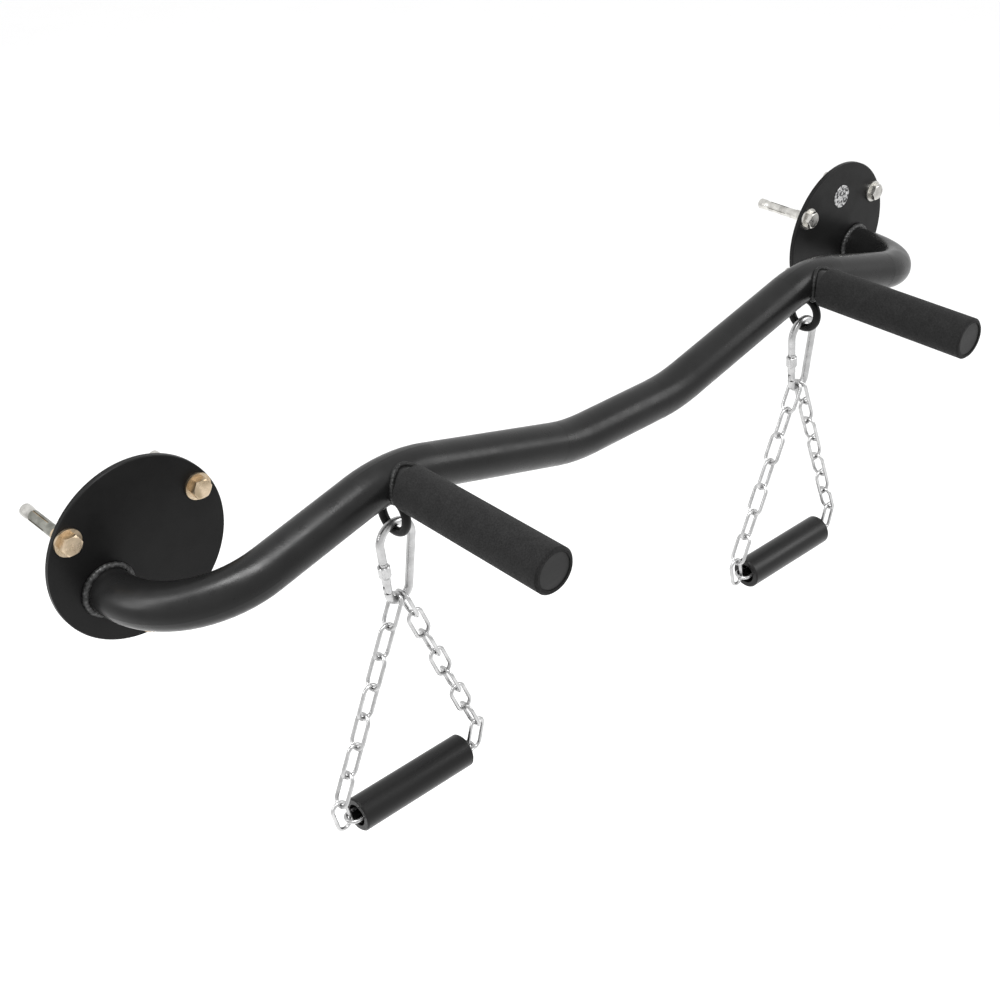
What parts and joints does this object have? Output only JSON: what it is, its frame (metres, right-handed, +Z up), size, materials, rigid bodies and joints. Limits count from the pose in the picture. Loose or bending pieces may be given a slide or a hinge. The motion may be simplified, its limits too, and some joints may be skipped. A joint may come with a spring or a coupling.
{
  "type": "pull up bar",
  "caption": "Wall-mounted pull-up bar: bent black tube on round plates, foam forward handles, and chain handles hanging from eyelets on screw-gate carabiners.",
  "frame": {"origin": "on the wall's face, midway between the lowest anchors of the two wall plates", "axes": "+X along the bar to the right as seen from the room, +Y into the wall, +Z up"},
  "size_m": [1.136, 0.3715, 0.4202],
  "materials": {
    "powder_coat": "semi-gloss, fine grain",
    "weld_bead": "satin, rough surface",
    "foam": "matte",
    "plug_plastic": "matte",
    "sleeve_plastic": "soft sheen",
    "gold_zinc": "zinc plated, gold tint",
    "anchor_zinc": "zinc plated, dull",
    "bright_zinc": "bright zinc plating",
    "spring_steel": "plain steel wire",
    "badge_silver": "satin"
  },
  "bodies": {
    "frame": {"main_bar": "powder_coat", "plate_badge": "badge_silver", "left_wall_plate": "powder_coat", "left_plate_weld": "weld_bead", "left_anchor_bolts": "gold_zinc", "left_anchor_washers": "gold_zinc", "left_anchor_sleeves": "anchor_zinc", "left_anchor_cones": "anchor_zinc", "left_handle_tube": "powder_coat", "left_handle_weld": "weld_bead", "left_handle_foam": "foam", "left_handle_plug": "plug_plastic", "left_eyelet": "powder_coat", "left_eyelet_weld": "weld_bead", "right_wall_plate": "powder_coat", "right_plate_weld": "weld_bead", "right_anchor_bolts": "gold_zinc", "right_anchor_washers": "gold_zinc", "right_anchor_sleeves": "anchor_zinc", "right_anchor_cones": "anchor_zinc", "right_handle_tube": "powder_coat", "right_handle_weld": "weld_bead", "right_handle_foam": "foam", "right_handle_plug": "plug_plastic", "right_eyelet": "powder_coat", "right_eyelet_weld": "weld_bead"},
    "left_carabiner": {"left_carabiner_body": "bright_zinc", "left_gate_pin": "spring_steel"},
    "left_gate": {"left_carabiner_gate": "bright_zinc", "left_gate_plunger": "spring_steel", "left_gate_spring": "spring_steel"},
    "left_nut": {"left_lock_nut": "bright_zinc"},
    "left_chain": {"left_chain_outer_leg": "bright_zinc", "left_chain_inner_leg": "bright_zinc", "left_chain_core": "bright_zinc"},
    "left_sleeve": {"left_chain_sleeve": "sleeve_plastic"},
    "right_carabiner": {"right_carabiner_body": "bright_zinc", "right_gate_pin": "spring_steel"},
    "right_gate": {"right_carabiner_gate": "bright_zinc", "right_gate_plunger": "spring_steel", "right_gate_spring": "spring_steel"},
    "right_nut": {"right_lock_nut": "bright_zinc"},
    "right_chain": {"right_chain_outer_leg": "bright_zinc", "right_chain_inner_leg": "bright_zinc", "right_chain_core": "bright_zinc"},
    "right_sleeve": {"right_chain_sleeve": "sleeve_plastic"}
  },
  "joints": [
    {"name": "left_carabiner_swing", "type": "hinge", "parent": "frame", "child": "left_carabiner", "pos_m": [-0.289, -0.106, 0.04908], "axis": [0, 1, 0], "range_deg": [-30, 30]},
    {"name": "left_gate_hinge", "type": "hinge", "parent": "left_carabiner", "child": "left_gate", "pos_m": [-0.30168, -0.106, -0.00787], "axis": [0, 1, 0], "range_deg": [0, 25], "stiffness_Nm_per_rad": 0.05, "springref_deg": -11.46},
    {"name": "left_lock_nut_travel", "type": "slide", "parent": "left_gate", "child": "left_nut", "axis": [0.1132, 0, -0.9936], "range_m": [0, 0.006]},
    {"name": "left_chain_swing", "type": "hinge", "parent": "left_carabiner", "child": "left_chain", "pos_m": [-0.289, -0.106, -0.02513], "axis": [1, 0, 0], "range_deg": [-60, 20]},
    {"name": "left_sleeve_spin", "type": "hinge", "parent": "left_chain", "child": "left_sleeve", "pos_m": [-0.289, -0.106, -0.24574], "axis": [1, 0, 0], "continuous": true},
    {"name": "right_carabiner_swing", "type": "hinge", "parent": "frame", "child": "right_carabiner", "pos_m": [0.289, -0.106, 0.04908], "axis": [0, 1, 0], "range_deg": [-30, 30]},
    {"name": "right_gate_hinge", "type": "hinge", "parent": "right_carabiner", "child": "right_gate", "pos_m": [0.27632, -0.106, -0.00787], "axis": [0, 1, 0], "range_deg": [0, 25], "stiffness_Nm_per_rad": 0.05, "springref_deg": -11.46},
    {"name": "right_lock_nut_travel", "type": "slide", "parent": "right_gate", "child": "right_nut", "axis": [0.1132, 0, -0.9936], "range_m": [0, 0.006]},
    {"name": "right_chain_swing", "type": "hinge", "parent": "right_carabiner", "child": "right_chain", "pos_m": [0.289, -0.106, -0.02513], "axis": [1, 0, 0], "range_deg": [-60, 20]},
    {"name": "right_sleeve_spin", "type": "hinge", "parent": "right_chain", "child": "right_sleeve", "pos_m": [0.289, -0.106, -0.24574], "axis": [1, 0, 0], "continuous": true}
  ]
}
